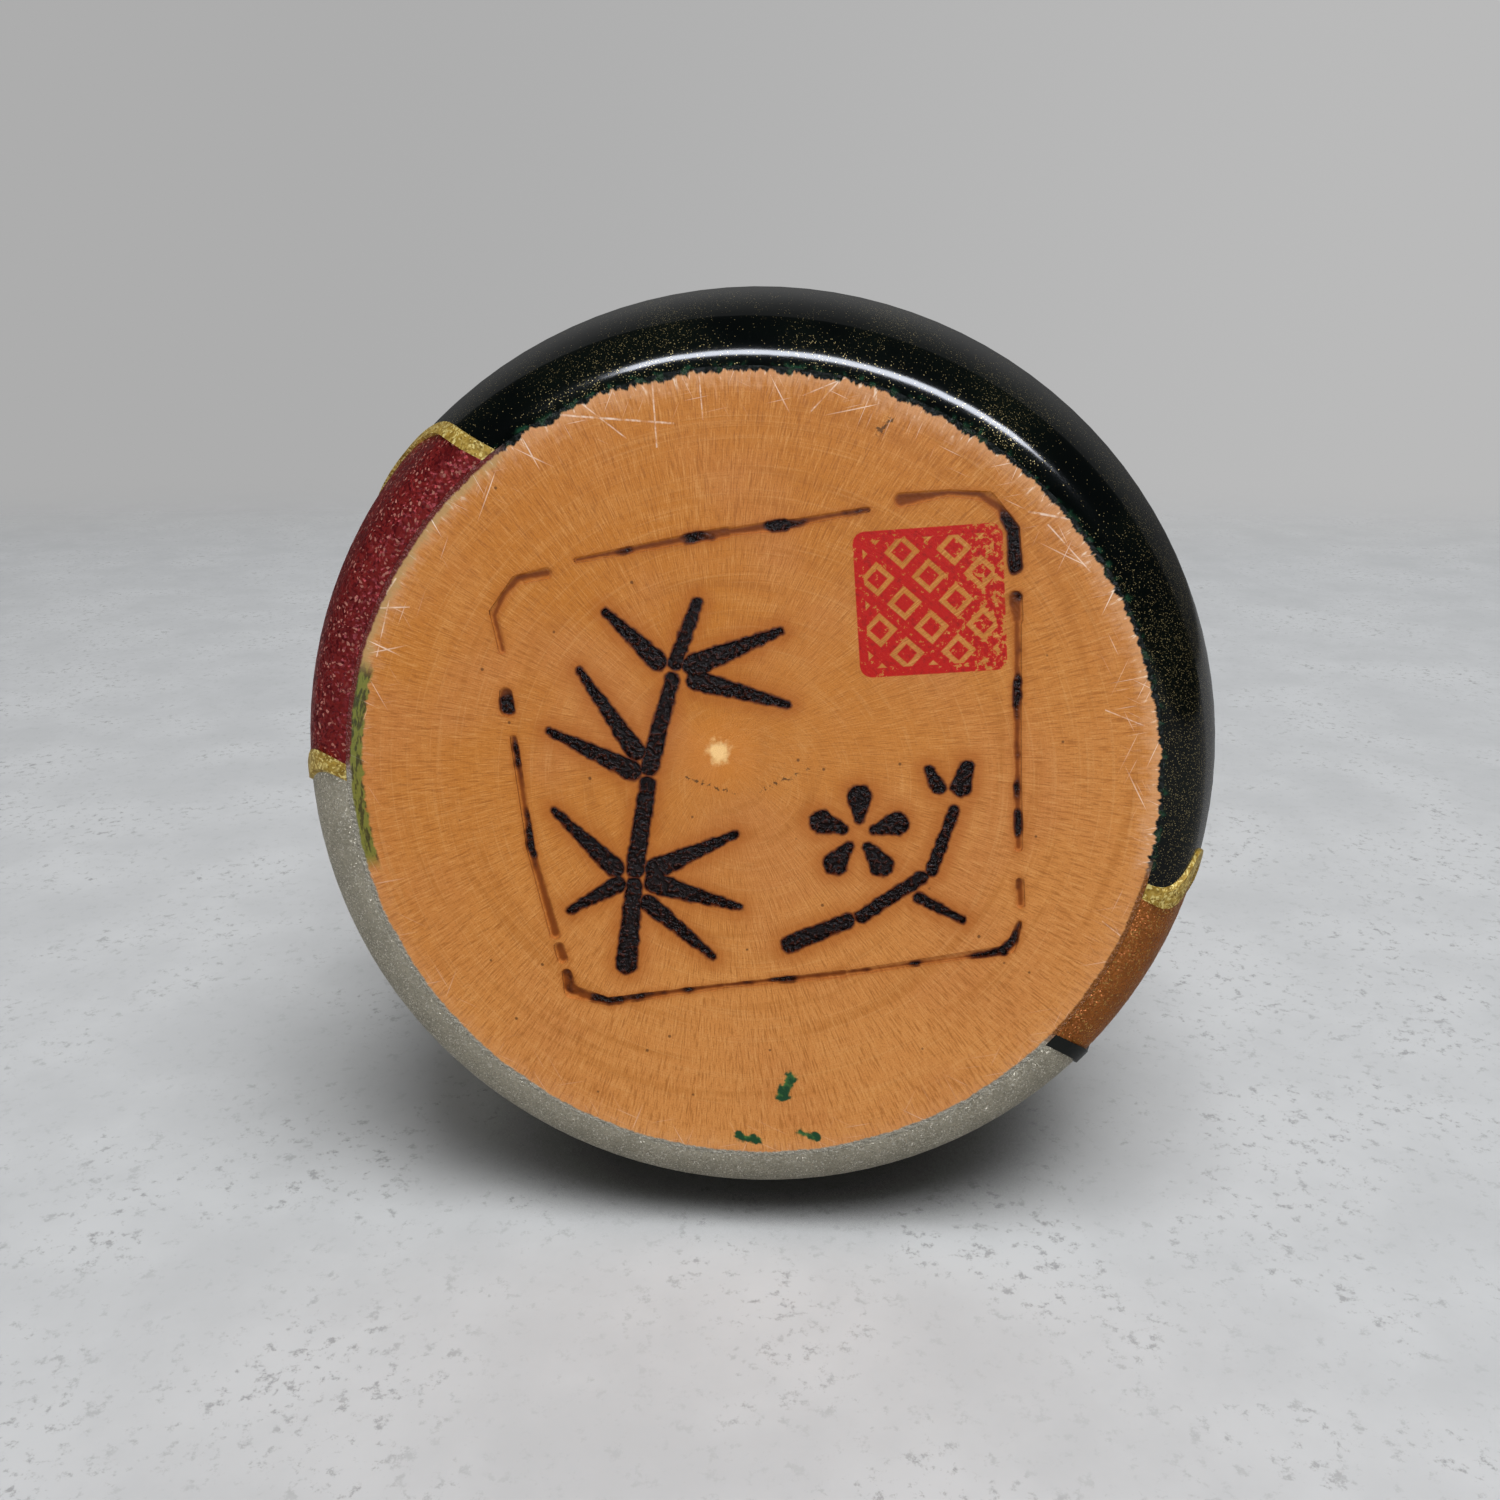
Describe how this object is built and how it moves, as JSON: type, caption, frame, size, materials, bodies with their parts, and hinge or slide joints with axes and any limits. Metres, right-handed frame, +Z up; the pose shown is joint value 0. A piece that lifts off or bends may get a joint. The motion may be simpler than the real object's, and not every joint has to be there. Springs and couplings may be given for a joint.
{
  "type": "kokeshi doll",
  "caption": "Turned wooden doll with a round head that turns on its neck dowel, layered lacquer robes and a burned ornament on its flat base.",
  "frame": {"origin": "centre of the flat base, on the surface the doll stands on", "axes": "+Z up along the turning axis of body and head, -Y the way the face looks, +X the doll's left hand side"},
  "size_m": [0.0978, 0.0972, 0.2153],
  "materials": {
    "turned_wood": "end grain of a turned log, fine lathe marks, clear wax",
    "painted_face_wood": "turned wood with a painted face under clear wax",
    "black_lacquer": "green-black lacquer with fine gold flecks, glossy",
    "red_glitter_lacquer": "crimson lacquer full of metal glitter",
    "copper_glitter_lacquer": "bronze lacquer full of metal glitter",
    "silver_glitter_lacquer": "silver-grey lacquer full of metal glitter",
    "gold_lacquer": "raised gold lacquer cord, satin",
    "hair_lacquer": "black lacquer with combed lines"
  },
  "bodies": {
    "body": {"body": "turned_wood", "front_robe": "black_lacquer", "red_robe": "red_glitter_lacquer", "copper_robe": "copper_glitter_lacquer", "silver_robe": "silver_glitter_lacquer", "red_inner_cord": "gold_lacquer", "red_outer_cord": "gold_lacquer", "copper_inner_cord": "gold_lacquer", "copper_outer_cord": "black_lacquer"},
    "head": {"head": "painted_face_wood", "neck_dowel": "turned_wood", "hair": "hair_lacquer"}
  },
  "joints": [
    {"name": "head_turn", "type": "hinge", "parent": "body", "child": "head", "pos_m": [0, 0, 0.151], "axis": [0, 0, 1], "continuous": true}
  ]
}
